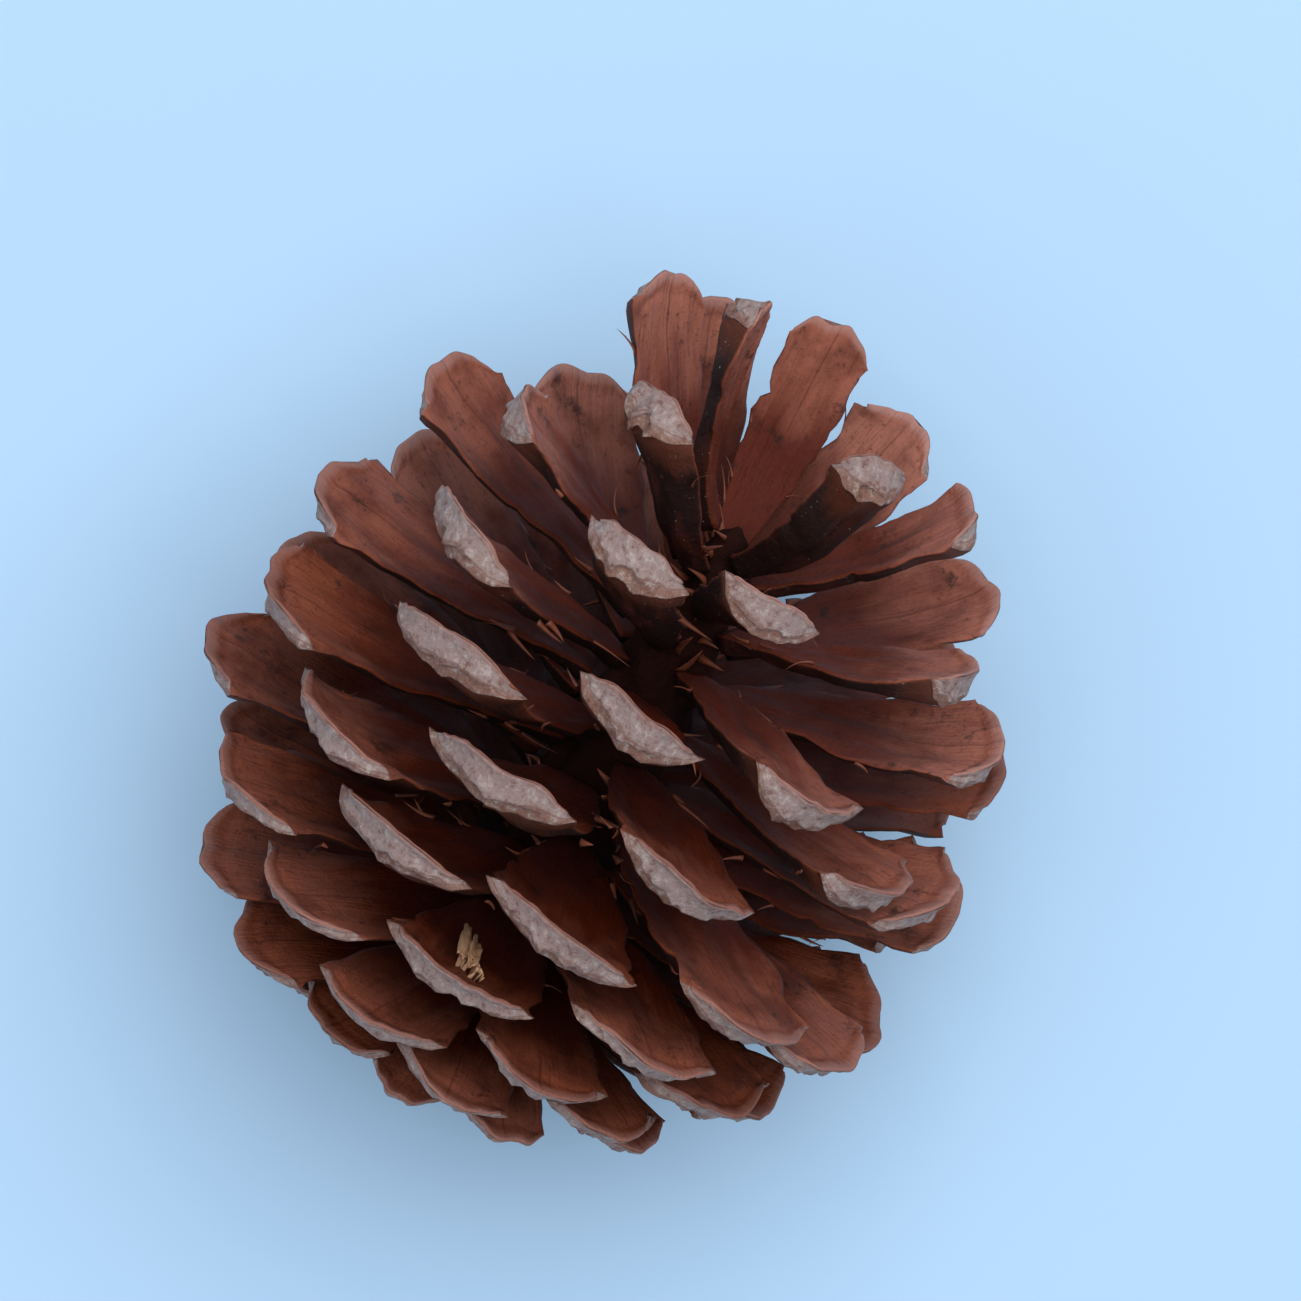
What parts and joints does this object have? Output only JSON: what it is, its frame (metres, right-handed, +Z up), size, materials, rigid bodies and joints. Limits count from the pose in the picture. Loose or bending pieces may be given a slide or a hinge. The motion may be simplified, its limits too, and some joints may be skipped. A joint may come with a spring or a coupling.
{
  "type": "open pine cone",
  "caption": "Open, dry pine cone lying on its side: woody scales in a spiral on a tapering core, with a papery seed wing left between two of them.",
  "frame": {"origin": "bottom centre of the bounding box, on the surface the cone lies on", "axes": "+Z up; the cone's tip points up and towards +X, 27 degrees above the horizontal; the broken stalk is at -X"},
  "size_m": [0.084, 0.0752, 0.0741],
  "materials": {
    "scale_wood": "matt, dry",
    "core_wood": "matt, dry",
    "seed_wing": "papery, slightly translucent"
  },
  "bodies": {
    "root": {"core": "core_wood", "scale_00": "scale_wood", "scale_01": "scale_wood", "scale_02": "scale_wood", "scale_03": "scale_wood", "scale_04": "scale_wood", "scale_05": "scale_wood", "scale_06": "scale_wood", "scale_07": "scale_wood", "scale_08": "scale_wood", "scale_09": "scale_wood", "scale_10": "scale_wood", "scale_11": "scale_wood", "scale_12": "scale_wood", "scale_13": "scale_wood", "scale_14": "scale_wood", "scale_15": "scale_wood", "scale_16": "scale_wood", "scale_17": "scale_wood", "scale_18": "scale_wood", "scale_19": "scale_wood", "scale_20": "scale_wood", "scale_21": "scale_wood", "scale_22": "scale_wood", "scale_23": "scale_wood", "scale_24": "scale_wood", "scale_25": "scale_wood", "scale_26": "scale_wood", "scale_27": "scale_wood", "scale_28": "scale_wood", "scale_29": "scale_wood", "scale_30": "scale_wood", "scale_31": "scale_wood", "scale_32": "scale_wood", "scale_33": "scale_wood", "scale_34": "scale_wood", "scale_35": "scale_wood", "scale_36": "scale_wood", "scale_37": "scale_wood", "scale_38": "scale_wood", "scale_39": "scale_wood", "scale_40": "scale_wood", "scale_41": "scale_wood", "scale_42": "scale_wood", "scale_43": "scale_wood", "scale_44": "scale_wood", "scale_45": "scale_wood", "scale_46": "scale_wood", "scale_47": "scale_wood", "scale_48": "scale_wood", "scale_49": "scale_wood", "scale_50": "scale_wood", "scale_51": "scale_wood", "scale_52": "scale_wood", "scale_53": "scale_wood", "scale_54": "scale_wood", "scale_55": "scale_wood", "scale_56": "scale_wood", "scale_57": "scale_wood", "seed_wing": "seed_wing"}
  },
  "joints": []
}
